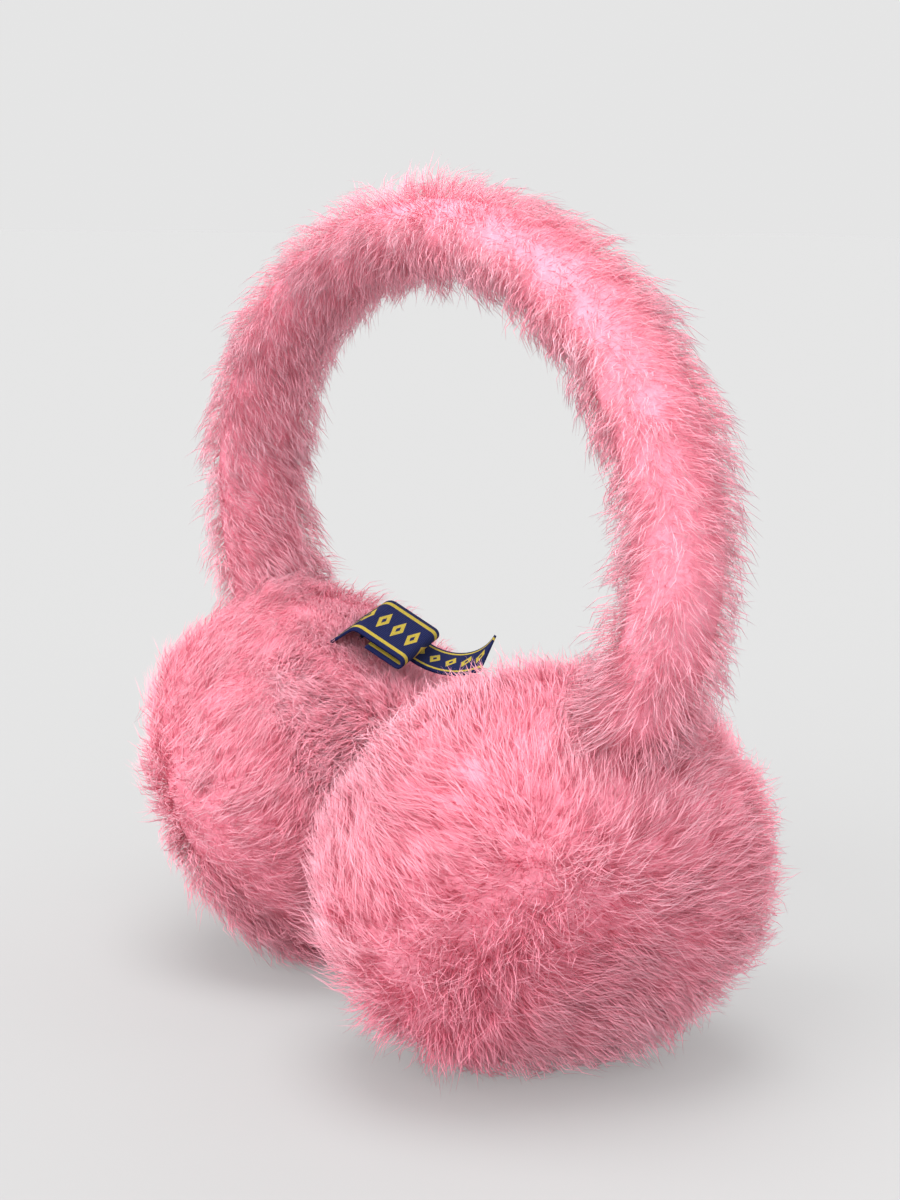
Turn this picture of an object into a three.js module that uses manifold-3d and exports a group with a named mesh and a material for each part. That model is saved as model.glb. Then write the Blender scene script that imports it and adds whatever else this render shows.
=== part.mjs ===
// Fur earmuffs: two thick ear cups in deep fur, on a headband covered in the same fur.
// Millimetres, +Z up, +X towards the wearer's right cup, +Y towards the back of the head.
// The cups stand on the surface at z = 0, and the fur under them is pressed flat there.

import * as THREE from 'three';
import { mergeVertices } from 'three/addons/utils/BufferGeometryUtils.js';
import Module from 'manifold-3d';

const wasm = await Module();
wasm.setup();

// Headband: its middle line is the upper half of an ellipse, carried on below its widest point
const bandHalfWidth = 84;
const bandRise = 66.2;
const bandWrap = 36;
const bandFrontToBack = 32;
const bandThickness = 24.6;
const bandFur = 4;

// Ear cups: crowned discs, measured over their fur from the middle plane to each side.
// A lower power gives a flatter face with a squarer rim.
const cupRadius = 51.4;
const cupOuterDepth = 31;
const cupOuterPower = 0.64;
const cupEarDepth = 34.4;
const cupEarPower = 0.76;
const cupFur = 6;
const cupYaw = 20;
const rightCupTilt = 26;
const leftCupTilt = 33;
const rightCupForward = 4.8;
const leftCupForward = -1.5;
const restPress = 4.6;

// Seam between a cup's outer fur and its ear side, from the cup's middle plane towards the ear
const seamOffset = 8;
const seamBare = 3;

// Where the headband's ends sit in the cups
const seatDepth = 9;
const rightSeatOffset = 4.3;
const leftSeatOffset = -0.7;
const seatClearance = 0.3;
const furClearance = 1;
const bareBandEnd = 11;

// Locks of fur, in overlapping rows: columns are counted round a cup or round the band
const cupLocksAround = 13;
const bandLocksAround = 6;
const cupLockRow = 15;
const bandLockRow = 16;
const bandLockSweep = 24;
const lockSway = 0.35;
const lockPatchiness = 0.3;
const poleRise = 0.7;

// A row of locks from its roots to its tips, in shares of the row's length and of the fur's depth,
// at the middle of a lock and in the parting between two locks
const lockRings = [
  { along: -0.06, alongParting: -0.06, rise: 0.12, riseParting: 0.12 },
  { along: 0.5, alongParting: 0.48, rise: 0.9, riseParting: 0.72 },
  { along: 1.2, alongParting: 0.98, rise: 1, riseParting: 0.6 },
];
// How fully each column of a lock takes part in it
const lockColumns = [0, 0.75, 1, 0.6];
// Steps between the numbers that set the locks of one row, and of one side, apart from the next
const rowNumberStep = 50;
const sideNumberStep = 7;

// Woven labels, sewn into the left cup's seat above its ear side
const labelThickness = 1;
const labelClearance = 0.3;
const labelTurn = 0;
const labelSkew = -14;
const labelHeightOnCup = 0.6 * cupRadius;
const labelTowardsEar = 0.93 * cupEarDepth;
const labelTail = 10;
const labelBendRun = 3;
const labelDrop = 63;
const foldedLabelWidth = 19.5;
const foldedLabelLength = 12;
const foldedLabelReturn = 9;
const labelFoldRadius = 1.3;
const stripLabelWidth = 10;
const stripLabelLength = 31;
const stripLabelStraight = 11;
const stripLabelLift = 70;
const stripLabelTwist = 24;
const stripLabelSlant = -4;
const stripLabelShift = 4.5;
const stripLabelUnder = 3.4;

// Fineness of the faceted forms
const tubeStep = 8;
const ribbonSteps = 16;
const profileSteps = 16;

const degree = Math.PI / 180;
const signedPower = (value, power) => Math.sign(value) * Math.abs(value) ** power;

// A steady value between -1 and 1 that differs from lock to lock
function unevenness(index) {
  const wave = Math.sin(index * 12.9898 + 4.1) * 43758.5453;
  return 2 * (wave - Math.floor(wave)) - 1;
}

// Solids: closed geometry to manifold and back

function toSolid(geometry) {
  const plain = geometry.clone();
  plain.deleteAttribute('normal');
  plain.deleteAttribute('uv');
  const merged = mergeVertices(plain, 1e-4);
  const corners = merged.index.array;
  const triangles = [];
  for (let i = 0; i < corners.length; i += 3) {
    const [a, b, c] = [corners[i], corners[i + 1], corners[i + 2]];
    if (a !== b && b !== c && c !== a) triangles.push(a, b, c);
  }
  return new wasm.Manifold(new wasm.Mesh({
    numProp: 3,
    vertProperties: new Float32Array(merged.attributes.position.array),
    triVerts: new Uint32Array(triangles),
  }));
}

function toGeometry(solid) {
  const mesh = solid.getMesh();
  const geometry = new THREE.BufferGeometry();
  geometry.setAttribute('position', new THREE.BufferAttribute(new Float32Array(mesh.vertProperties), 3));
  geometry.setIndex(new THREE.BufferAttribute(new Uint32Array(mesh.triVerts), 1));
  geometry.computeVertexNormals();
  return geometry;
}

// The largest body that a cut leaves: the tips of locks that it severs are dropped
function largestBody(solid) {
  const bodies = solid.decompose();
  return bodies.reduce((best, body) => (body.volume() > best.volume() ? body : best));
}

// A closed form of revolution, from one pole to the other, whose spots are put in place one by one
function ringForm(rings, columns, place) {
  const lastRing = rings.length - 1;
  const outline = rings.map((ring, i) => new THREE.Vector2(i === 0 || i === lastRing ? 0 : 1, i));
  const form = new THREE.LatheGeometry(outline, columns);
  const spots = form.attributes.position;
  for (let column = 0; column <= columns; column += 1) {
    rings.forEach((ring, i) => {
      const spot = place(ring, column % columns, columns);
      spots.setXYZ(column * rings.length + i, spot.x, spot.y, spot.z);
    });
  }
  return form;
}

// The rings of a run of lock rows, from their roots at its start to their tips at its end
function lockRowRings(length, rowLength, side) {
  const rows = Math.max(2, Math.round(length / rowLength));
  const rings = [];
  for (let row = 0; row < rows; row += 1) {
    for (const form of lockRings) rings.push({ row, rows, form, length, side });
  }
  return rings;
}

// Where a ring's spot lies in its lock: how far along the run, how far out, and how far sideways
function lockSpot({ row, rows, form, length, side }, column) {
  const perLock = lockColumns.length;
  const shifted = column + (row % 2) * (perLock / 2);
  const lock = Math.floor(shifted / perLock) + row * rowNumberStep + side * sideNumberStep;
  const share = lockColumns[shifted % perLock] * (1 - lockPatchiness * Math.abs(unevenness(lock)));
  const along = THREE.MathUtils.lerp(form.alongParting, form.along, share);
  const rise = THREE.MathUtils.lerp(form.riseParting, form.rise, share);
  const sway = lockSway * unevenness(lock + 0.5) * Math.max(form.along, 0);
  return { run: Math.max((row + along) / rows, 0) * length, rise, sway };
}

// Headband

class BandPath extends THREE.Curve {
  constructor(startAngle, endAngle, centreHeight) {
    super();
    this.startAngle = startAngle;
    this.endAngle = endAngle;
    this.centreHeight = centreHeight;
  }

  // Each leg bends forwards or back, more and more towards its end, to meet its own cup
  getPoint(share, target = new THREE.Vector3()) {
    const angle = THREE.MathUtils.lerp(this.startAngle, this.endAngle, share);
    const [legEnd, forward] = angle < 0
      ? [this.startAngle, leftCupForward]
      : [this.endAngle, rightCupForward];
    const downLeg = (1 - Math.cos(angle)) / (1 - Math.cos(legEnd));
    return target.set(
      bandHalfWidth * Math.sin(angle),
      -forward * downLeg ** 2,
      this.centreHeight + bandRise * Math.cos(angle),
    );
  }
}

// A spot on or in the band: a run along its path, then across the head and out from it
function bandSpot(path, run, across, out) {
  const share = THREE.MathUtils.clamp(run / path.getLength(), 0, 1);
  const tangent = path.getTangentAt(share);
  const beyond = tangent.clone().multiplyScalar(run - share * path.getLength());
  const back = new THREE.Vector3(0, 1, 0);
  const headOut = new THREE.Vector3().crossVectors(tangent, back).normalize();
  const middle = path.getPointAt(share).add(beyond);
  return middle.addScaledVector(back, -across).addScaledVector(headOut, out);
}

// A plain tube along a stretch of the band's path
function bandTube(path, { from, to, halfAcross, halfThick }) {
  const steps = Math.ceil((to - from) / tubeStep);
  const rings = [{ run: from, size: 0 }];
  for (let i = 0; i <= steps; i += 1) {
    rings.push({ run: THREE.MathUtils.lerp(from, to, i / steps), size: 1 });
  }
  rings.push({ run: to, size: 0 });
  return toSolid(ringForm(rings, bandColumns, ({ run, size }, column) => {
    const angle = (column / bandColumns) * 2 * Math.PI;
    const across = size * halfAcross * Math.sin(angle);
    return bandSpot(path, run, across, size * halfThick * Math.cos(angle));
  }));
}

const bandColumns = bandLocksAround * lockColumns.length;
const bandCoreAcross = bandFrontToBack / 2 - bandFur;
const bandCoreThick = bandThickness / 2 - bandFur;

// The locks run down both legs from the crown, and sweep away from the middle of the outer side
function headbandForm(path) {
  const total = path.getLength();
  const legRun = total / 2 - bareBandEnd;
  const legRings = (side) => lockRowRings(legRun, bandLockRow, side);
  const rings = [
    { end: 0, radius: 0 },
    { end: 0, radius: 1 },
    { end: bareBandEnd, radius: 1 },
    ...legRings(-1).reverse(),
    ...legRings(1),
    { end: total - bareBandEnd, radius: 1 },
    { end: total, radius: 1 },
    { end: total, radius: 0 },
  ];
  return ringForm(rings, bandColumns, (ring, column) => {
    const lock = ring.form ? lockSpot(ring, column) : { rise: 0, sway: 0 };
    const run = ring.form ? total / 2 + ring.side * lock.run : ring.end;
    const plain = (column / bandColumns) * 2 * Math.PI;
    const combed = bandLockSweep * degree * Math.sin(plain) * lock.rise;
    const angle = plain + combed + (lock.sway * 2 * Math.PI) / bandColumns;
    const radius = ring.form ? 1 : ring.radius;
    const across = (bandCoreAcross + bandFur * lock.rise) * radius * Math.sin(angle);
    const out = (bandCoreThick + bandFur * lock.rise) * radius * Math.cos(angle);
    return bandSpot(path, run, across, out);
  });
}

// Ear cups, in a cup's own frame: +X away from the head, +Z up the cup, +Y to its back

const cupCoreRadius = cupRadius - cupFur;

// A spot on a cup's profile, from its ear side at -90 to its outer side at 90 degrees
function profileSpot(angle) {
  const [depth, power] = angle > 0 ? [cupOuterDepth, cupOuterPower] : [cupEarDepth, cupEarPower];
  return new THREE.Vector2(
    (depth - cupFur) * signedPower(Math.sin(angle), power),
    cupCoreRadius * Math.max(Math.cos(angle), 0) ** power,
  );
}

// The profile from a pole to the seam, as points of (distance along the axis, radius)
function profileToSeam(side) {
  const seamShare = (seamOffset / (cupEarDepth - cupFur)) ** (1 / cupEarPower);
  const seamAngle = -Math.asin(Math.min(seamShare, 1));
  const points = [];
  for (let i = 0; i <= profileSteps; i += 1) {
    const angle = THREE.MathUtils.lerp(side * 90 * degree, seamAngle, i / profileSteps);
    points.push(profileSpot(angle));
  }
  points[0].y = 0;
  return new THREE.SplineCurve(points);
}

const outerProfile = profileToSeam(1);
const earProfile = profileToSeam(-1);

// A cup with its locks combed from the middle of each side to the seam, where they leave a crease
function cupForm() {
  const sideRings = (profile, side) => {
    const length = profile.getLength() - seamBare;
    return lockRowRings(length, cupLockRow, side).map((ring) => ({ ...ring, profile }));
  };
  const rings = [
    { pole: earProfile, side: -1 },
    ...sideRings(earProfile, -1),
    { seam: true },
    ...sideRings(outerProfile, 1).reverse(),
    { pole: outerProfile, side: 1 },
  ];
  return ringForm(rings, cupLocksAround * lockColumns.length, (ring, column, columns) => {
    const lock = ring.form ? lockSpot(ring, column) : { run: 0, rise: ring.pole ? poleRise : 0, sway: 0 };
    const profile = ring.profile ?? ring.pole ?? outerProfile;
    const share = ring.seam ? 1 : lock.run / profile.getLength();
    const spot = profile.getPointAt(Math.min(share, 1));
    const run = profile.getTangentAt(Math.min(share, 1));
    const side = ring.side ?? 1;
    const axial = spot.x + side * run.y * cupFur * lock.rise;
    const radius = ring.pole ? 0 : spot.y - side * run.x * cupFur * lock.rise;
    const angle = ((column + lock.sway) / columns) * 2 * Math.PI;
    return new THREE.Vector3(axial, -radius * Math.sin(angle), radius * Math.cos(angle));
  });
}

// Turns a cup's own frame into the object's: tilted so that its foot comes inwards, then turned
// so that its outer side looks a little to the front. The left cup is turned round to face -X.
function cupTurn(side, tilt) {
  const facing = new THREE.Matrix4().makeRotationZ(side > 0 ? 0 : 180 * degree);
  const leaning = new THREE.Matrix4().makeRotationY(side * tilt * degree);
  const turning = new THREE.Matrix4().makeRotationZ(-side * cupYaw * degree);
  return turning.multiply(leaning).multiply(facing);
}

const direction = (matrix, x, y, z) => new THREE.Vector3(x, y, z).transformDirection(matrix);

// Height of a turned cup's middle when its fur is pressed by its share on the surface
function restingHeight(turn) {
  const form = cupForm().applyMatrix4(turn);
  form.computeBoundingBox();
  return -form.boundingBox.min.z - restPress;
}

const rightTurn = cupTurn(1, rightCupTilt);
const leftTurn = cupTurn(-1, leftCupTilt);

// From a cup's middle to the headband's end in it
function seatFromMiddle(turn, offset) {
  const up = direction(turn, 0, 0, 1).multiplyScalar(cupCoreRadius - seatDepth);
  return up.addScaledVector(direction(turn, 1, 0, 0), offset);
}

// The right leg sets the arch's height, and the left leg wraps as far as its own cup needs
const rightSeat = seatFromMiddle(rightTurn, rightSeatOffset);
const leftSeat = seatFromMiddle(leftTurn, leftSeatOffset);
const rightEndHeight = restingHeight(rightTurn) + rightSeat.z;
const leftEndHeight = restingHeight(leftTurn) + leftSeat.z;
const bandCentreHeight = rightEndHeight + bandRise * Math.sin(bandWrap * degree);
const leftWrap = Math.asin((bandCentreHeight - leftEndHeight) / bandRise);
const bandPath = new BandPath(-90 * degree - leftWrap, (90 + bandWrap) * degree, bandCentreHeight);

function cupPlacement(turn, seat, bandEnd, restHeight, forward) {
  return turn.clone().setPosition(bandEnd.x - seat.x, -forward, restHeight);
}

const rightPlacement = cupPlacement(
  rightTurn, rightSeat, bandPath.getPoint(1), restingHeight(rightTurn), rightCupForward,
);
const leftPlacement = cupPlacement(
  leftTurn, leftSeat, bandPath.getPoint(0), restingHeight(leftTurn), leftCupForward,
);

// The room for the band: a close seat round its bare end, and a wider way for its fur above
function bandRoom(side) {
  const total = bandPath.getLength();
  const tipOverrun = (lockRings.at(-1).along - 1) * bandLockRow;
  const room = (near, far, halfAcross, halfThick) => {
    const [from, to] = side > 0 ? [total - far, total - near] : [near, far];
    return bandTube(bandPath, { from, to, halfAcross, halfThick });
  };
  const seat = room(
    -seatClearance,
    bareBandEnd + furClearance,
    bandCoreAcross + seatClearance,
    bandCoreThick + seatClearance,
  );
  const way = room(
    bareBandEnd - furClearance - tipOverrun,
    2 * cupRadius,
    bandFrontToBack / 2 + furClearance,
    bandThickness / 2 + furClearance,
  );
  return seat.add(way);
}

function surfaceBlock() {
  const span = 6 * cupRadius;
  const block = new THREE.BoxGeometry(span, span, span);
  return toSolid(block.translate(0, 0, -span / 2));
}

// Everything below z = 0 is pressed away, so the cup rests on a flat patch
function cupSolid(placement, side) {
  const fur = toSolid(cupForm().applyMatrix4(placement));
  const middle = new THREE.Vector3().setFromMatrixPosition(placement);
  const surface = surfaceBlock().translate([middle.x, middle.y, 0]);
  return fur.subtract(surface).subtract(bandRoom(side));
}

// Labels: ribbons bent along a path of runs, each with its own turn

function ribbonPlace(runs, distance) {
  let left = distance;
  let heading = 90 * degree;
  const spot = new THREE.Vector2();
  for (const [i, { run, turn }] of runs.entries()) {
    const last = i === runs.length - 1;
    const part = last ? left : Math.min(left, run);
    const turned = (turn * degree * part) / run;
    const chord = Math.abs(turned) > 1e-9 ? (Math.sin(turned / 2) / (turned / 2)) * part : part;
    const way = heading + turned / 2;
    spot.add(new THREE.Vector2(Math.cos(way), Math.sin(way)).multiplyScalar(chord));
    heading += turned;
    left -= part;
    if (left <= 0) break;
  }
  return { spot, heading };
}

// The label's frame on the left cup: x towards the ear side, y out of the fur, z along the seam
function labelFrame() {
  const ear = new THREE.Vector3(-1, 0, 0);
  const outAt = (angle) => new THREE.Vector3(0, -Math.sin(angle), Math.cos(angle));
  const spot = outAt(labelTurn * degree).multiplyScalar(labelHeightOnCup);
  spot.addScaledVector(ear, labelTowardsEar);
  const out = outAt((labelTurn + labelSkew) * degree);
  const along = new THREE.Vector3().crossVectors(out, ear);
  const rooted = spot.addScaledVector(ear, -labelTail);
  const own = new THREE.Matrix4().makeBasis(out, ear, along).setPosition(rooted);
  return leftPlacement.clone().multiply(own);
}

function ribbon(runs, { width, shift, under, twist, slant, grow }) {
  const length = runs.reduce((sum, { run }) => sum + run, 0);
  const thickness = labelThickness + 2 * grow;
  const sheet = new THREE.BoxGeometry(length + 2 * grow, thickness, width + 2 * grow, ribbonSteps, 1, 1);
  const spots = sheet.attributes.position;
  for (let i = 0; i < spots.count; i += 1) {
    const across = spots.getZ(i);
    const share = THREE.MathUtils.clamp(spots.getX(i) / length + 0.5, 0, 1);
    const distance = spots.getX(i) + length / 2 - (slant * across * share ** 3) / width;
    const { spot, heading } = ribbonPlace(runs, distance);
    const roll = twist * degree * share ** 4;
    const lift = spots.getY(i) * Math.cos(roll) - across * Math.sin(roll);
    const sideways = spots.getY(i) * Math.sin(roll) + across * Math.cos(roll);
    spots.setXYZ(
      i,
      spot.x - lift * Math.sin(heading) - under,
      spot.y + lift * Math.cos(heading),
      sideways + shift,
    );
  }
  return toSolid(sheet.applyMatrix4(labelFrame()));
}

const foldedLabelRuns = [
  { run: labelTail, turn: 0 },
  { run: labelBendRun, turn: labelDrop },
  { run: foldedLabelLength, turn: 0 },
  { run: Math.PI * labelFoldRadius, turn: 180 },
  { run: foldedLabelReturn, turn: 0 },
];
const stripLabelRuns = [
  { run: labelTail - stripLabelUnder, turn: 0 },
  { run: labelBendRun, turn: labelDrop },
  { run: stripLabelStraight, turn: 0 },
  { run: stripLabelLength - stripLabelStraight, turn: -stripLabelLift },
];

const foldedLabel = (grow) => ribbon(foldedLabelRuns, {
  width: foldedLabelWidth, shift: 0, under: 0, twist: 0, slant: 0, grow,
});
const stripLabel = (grow) => ribbon(stripLabelRuns, {
  width: stripLabelWidth,
  shift: stripLabelShift,
  under: stripLabelUnder,
  twist: stripLabelTwist,
  slant: stripLabelSlant,
  grow,
});

// Assembly

const bandSolid = toSolid(headbandForm(bandPath));
const rightCup = largestBody(cupSolid(rightPlacement, 1));
const leftCupWhole = cupSolid(leftPlacement, -1);
const leftCup = largestBody(
  leftCupWhole.subtract(foldedLabel(labelClearance)).subtract(stripLabel(labelClearance)),
);

const furMaterial = new THREE.MeshStandardMaterial({ color: 0xee90a8, roughness: 0.95, metalness: 0 });
const wovenMaterial = new THREE.MeshStandardMaterial({ color: 0x222b5c, roughness: 0.6, metalness: 0 });

function namedMesh(name, solid, material) {
  const mesh = new THREE.Mesh(toGeometry(solid), material);
  mesh.name = name;
  return mesh;
}

const earmuffs = new THREE.Group();
earmuffs.add(
  namedMesh('headband', bandSolid, furMaterial),
  namedMesh('right_ear_cup', rightCup, furMaterial),
  namedMesh('left_ear_cup', leftCup, furMaterial),
  namedMesh('folded_label', foldedLabel(0), wovenMaterial),
  namedMesh('strip_label', stripLabel(0), wovenMaterial),
);

// The origin is on the surface, under the middle of the whole
const whole = new THREE.Box3().setFromObject(earmuffs).getCenter(new THREE.Vector3());
earmuffs.position.set(-whole.x, -whole.y, 0);

export default earmuffs;
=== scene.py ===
# %% [markdown]
# # Fur earmuffs
#
# Two thick ear cups and a headband, all in deep pink fur, stand on the cups, and two small woven
# labels come out of the left cup's fur. Fur could be a bump on a smooth form, but then its outline
# stays smooth, or particle hair, but that is lost when the model is exported. Here each strand is a
# small closed mesh: a skin is shaped first, clumps are laid over it, and the strands of a clump are
# combed towards its tip. All lengths are in millimetres until a mesh is made.

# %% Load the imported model
import bmesh
import bpy
import numpy as np
from mathutils import Matrix, Vector


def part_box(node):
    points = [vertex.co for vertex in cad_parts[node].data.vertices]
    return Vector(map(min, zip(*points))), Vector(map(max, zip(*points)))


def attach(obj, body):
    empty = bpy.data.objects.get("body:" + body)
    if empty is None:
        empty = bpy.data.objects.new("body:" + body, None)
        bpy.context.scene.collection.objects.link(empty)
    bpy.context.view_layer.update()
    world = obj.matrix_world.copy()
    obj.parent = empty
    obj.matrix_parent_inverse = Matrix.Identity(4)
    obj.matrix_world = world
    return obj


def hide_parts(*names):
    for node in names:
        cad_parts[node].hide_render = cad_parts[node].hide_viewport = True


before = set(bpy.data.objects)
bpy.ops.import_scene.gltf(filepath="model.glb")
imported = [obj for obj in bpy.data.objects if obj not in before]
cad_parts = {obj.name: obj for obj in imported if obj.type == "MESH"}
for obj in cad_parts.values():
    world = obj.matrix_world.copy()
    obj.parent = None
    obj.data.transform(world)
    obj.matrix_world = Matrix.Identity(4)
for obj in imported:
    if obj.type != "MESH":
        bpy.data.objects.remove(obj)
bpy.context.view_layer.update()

MM = 0.001

# %% [markdown]
# ## Camera
# A longish lens looks at the earmuffs from between their front (-Y) and the near cup (+X), a little
# above the cups. Its matrix could be typed in, but three angles, a distance and an aim point say what
# they mean, so the matrix is made from them: its columns point to the right, up and back.

# %% Camera
ARCH_PLACE = np.array([-0.29, 1.58, 0.0])
AIM = ARCH_PLACE + [0, 0, 95.0]
DISTANCE = 493.8
SENSOR_HEIGHT, FOCAL_LENGTH = 36, 64.38
FRAME_SHIFT = (0.0093, 0.0040)
azimuth, elevation, roll = np.radians([54.88, 10.77, 0.966])

back = np.array([
    np.sin(azimuth) * np.cos(elevation),
    -np.cos(azimuth) * np.cos(elevation),
    np.sin(elevation),
])
level = np.array([np.cos(azimuth), np.sin(azimuth), 0])
above = np.cross(back, level)
right = level * np.cos(roll) + above * np.sin(roll)
up = above * np.cos(roll) - level * np.sin(roll)

lens = bpy.data.cameras.new("camera")
lens.sensor_fit, lens.sensor_height, lens.lens = "VERTICAL", SENSOR_HEIGHT, FOCAL_LENGTH
lens.shift_x, lens.shift_y = FRAME_SHIFT
camera = bpy.data.objects.new("camera", lens)
bpy.context.scene.collection.objects.link(camera)
pose = Matrix(np.column_stack([right, up, back]).tolist()).to_4x4()
pose.translation = Vector((AIM + back * DISTANCE) * MM)
camera.matrix_world = pose
bpy.context.scene.camera = camera
bpy.context.scene.view_settings.view_transform = "Standard"
print("camera at", (AIM + back * DISTANCE).round(1), "mm")

# %% [markdown]
# ## From arrays to a mesh
# Modelling tools would lay 37,000 strands on each coat far too slowly. So every piece below is worked
# out by numpy as an array of points and an array of faces, and one helper turns them into an object
# at the origin, with its place in its mesh.

# %% Mesh helper
def mesh_object(name, points, faces, uv=None, smooth=True):
    """Points in mm (n, 3) and faces (m, 3 or 4) become one object; uv is one pair per point."""
    faces = np.asarray(faces, dtype=np.int32)
    sides = faces.shape[1]
    mesh = bpy.data.meshes.new(name)
    mesh.vertices.add(len(points))
    mesh.vertices.foreach_set("co", (np.asarray(points) * MM).astype(np.float32).ravel())
    mesh.loops.add(faces.size)
    mesh.loops.foreach_set("vertex_index", faces.ravel())
    mesh.polygons.add(len(faces))
    mesh.polygons.foreach_set("loop_start", np.arange(0, faces.size, sides, dtype=np.int32))
    mesh.polygons.foreach_set("use_smooth", np.full(len(faces), smooth))
    if uv is not None:
        layer = mesh.uv_layers.new(name="OFBake")
        layer.uv.foreach_set("vector", np.asarray(uv, dtype=np.float32)[faces.ravel()].ravel())
    mesh.update()
    mesh.validate()
    item = bpy.data.objects.new(name, mesh)
    bpy.context.scene.collection.objects.link(item)
    print(f"made {name}: {len(points):,} points, {len(faces):,} faces of {sides} sides")
    return item


print("meshes take lengths in mm and keep them in m, times", MM)

# %% [markdown]
# ## Floor
# The earmuffs stand on a plain pale surface that runs on into a pale background with no line between
# them. A curved backdrop would do that for one camera only. A wide flat sheet does it from all sides.

# %% Floor
FLOOR_REACH = 9000.0
corners = np.array([[-1, -1, 0], [1, -1, 0], [1, 1, 0], [-1, 1, 0]]) * FLOOR_REACH
floor = mesh_object("floor", corners, [[0, 1, 2, 3]], smooth=False)

# %% [markdown]
# ## Light
# The studio light is soft and comes from all round: a large one above, one in front, one near the
# camera for the cup that faces it, a weak fill on the near cup's side and a weak one behind. Area
# lamps would leave brighter patches on the floor. A sun lights all of it evenly, and the wider its
# angle, the softer the shadow. A white sky lifts the shadows in the fur.

# %% Light
LIT_POINT = Vector((0, 0, 0.09))
SKY_STRENGTH = 0.785
soft_lights = {  # name: (where it comes from in m, its angle in degrees, its strength)
    "above": ((0.08, -0.16, 1.3), 38, 2.4),
    "front_left": ((0.1, -1.2, 0.85), 45, 1.9),
    "front": ((1.05, -0.85, 0.40), 70, 1.55),
    "fill": ((1.1, 0.5, 0.7), 80, 0.45),
    "behind": ((-0.6, 1.2, 0.8), 70, 0.8),
}
for name, (place, angle, strength) in soft_lights.items():
    lamp = bpy.data.lights.new(name, "SUN")
    lamp.angle, lamp.energy = np.radians(angle), strength
    item = bpy.data.objects.new(name, lamp)
    item.location = place
    item.rotation_euler = (LIT_POINT - Vector(place)).to_track_quat("-Z", "Y").to_euler()
    bpy.context.scene.collection.objects.link(item)

world = bpy.data.worlds.new("studio")
bpy.context.scene.world = world
world.use_nodes = True
sky = world.node_tree.nodes["Background"].inputs
sky[0].default_value, sky[1].default_value = (1, 1, 1, 1), SKY_STRENGTH
print(len(soft_lights), "soft lights, sky", SKY_STRENGTH)

# %% [markdown]
# ## Shader maths
# A finish is a small formula on the surface's own coordinates. It could be wired up node by node, but
# a long row of links hides the formula. `Sum` wraps one shader value and adds a math node for each
# operator, so the formula reads as one. `Shop` holds one material, and its `node` makes any other node.

# %% Shader values
class Sum:
    """A shader value; arithmetic on it adds math nodes."""

    def __init__(self, shop, socket):
        self.shop, self.socket = shop, socket

    def _math(self, operation, *values):
        return self.shop.node("ShaderNodeMath", values, operation=operation)

    def __add__(self, other):
        return self._math("ADD", self, other)

    def __sub__(self, other):
        return self._math("SUBTRACT", self, other)

    def __rsub__(self, other):
        return self._math("SUBTRACT", other, self)

    def __mul__(self, other):
        return self._math("MULTIPLY", self, other)

    __radd__, __rmul__ = __add__, __mul__

    def above(self, level):
        """1 where the value is more than level, else 0."""
        return self._math("GREATER_THAN", self, level)

    def apart(self, level):
        """How far the value is from level, either way."""
        return self._math("ABSOLUTE", self - level)

    def repeated(self, count):
        """The value's run from 0 to 1 becomes count runs from 0 to 1."""
        return self._math("FRACT", self * count)


print("shader values take", "+ - * above apart repeated")

# %% One material
class Shop:
    """One material. node() makes any node and gives one of its outputs."""

    def __init__(self, name, roughness, specular=0.25):
        self.material = bpy.data.materials.new(name)
        self.material.use_nodes = True
        self.tree = self.material.node_tree
        self.surface = self.tree.nodes["Principled BSDF"].inputs
        self.put(roughness, self.surface["Roughness"])
        self.put(specular, self.surface["Specular IOR Level"])

    def put(self, value, socket):
        """Links a shader value to a socket, or sets a number or a colour on it."""
        if isinstance(value, Sum):
            self.tree.links.new(value.socket, socket)
        elif isinstance(value, tuple):
            socket.default_value = (*value, 1)
        else:
            socket.default_value = value

    def node(self, kind, values=(), output=0, **settings):
        """A node of any kind: its settings first, then the values or links of its sockets."""
        made = self.tree.nodes.new(kind)
        for key, setting in settings.items():
            setattr(made, key, setting)
        pairs = values.items() if isinstance(values, dict) else enumerate(values)
        for key, value in pairs:
            self.put(value, made.inputs[key])
        return Sum(self, made.outputs[output])

    def mix(self, factor, first, second):
        """The first colour where factor is 0, the second where it is 1."""
        values = {"Factor": factor, 6: first, 7: second}
        return self.node("ShaderNodeMix", values, output=2, data_type="RGBA")

    def clamped(self, value):
        return self.node("ShaderNodeClamp", (value,))

    def noise(self, scale, detail=2.0):
        """Noise on Object coordinates, scale waves in a metre."""
        place = self.node("ShaderNodeTexCoord", output="Object")
        return self.node("ShaderNodeTexNoise", {"Vector": place, "Scale": scale, "Detail": detail})

    def own_pair(self):
        """The piece's own two coordinates."""
        pair = self.node("ShaderNodeUVMap", uv_map="OFBake")
        return [self.node("ShaderNodeSeparateXYZ", (pair,), output=axis) for axis in (0, 1)]

    def colour(self, value):
        self.put(value, self.surface["Base Color"])

    def relief(self, height, strength, depth):
        """A bump, at most depth in metres."""
        values = {"Height": height, "Strength": strength, "Distance": depth}
        self.put(self.node("ShaderNodeBump", values), self.surface["Normal"])


print("a material can mix, clamp, add noise, colour and relief")
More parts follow.
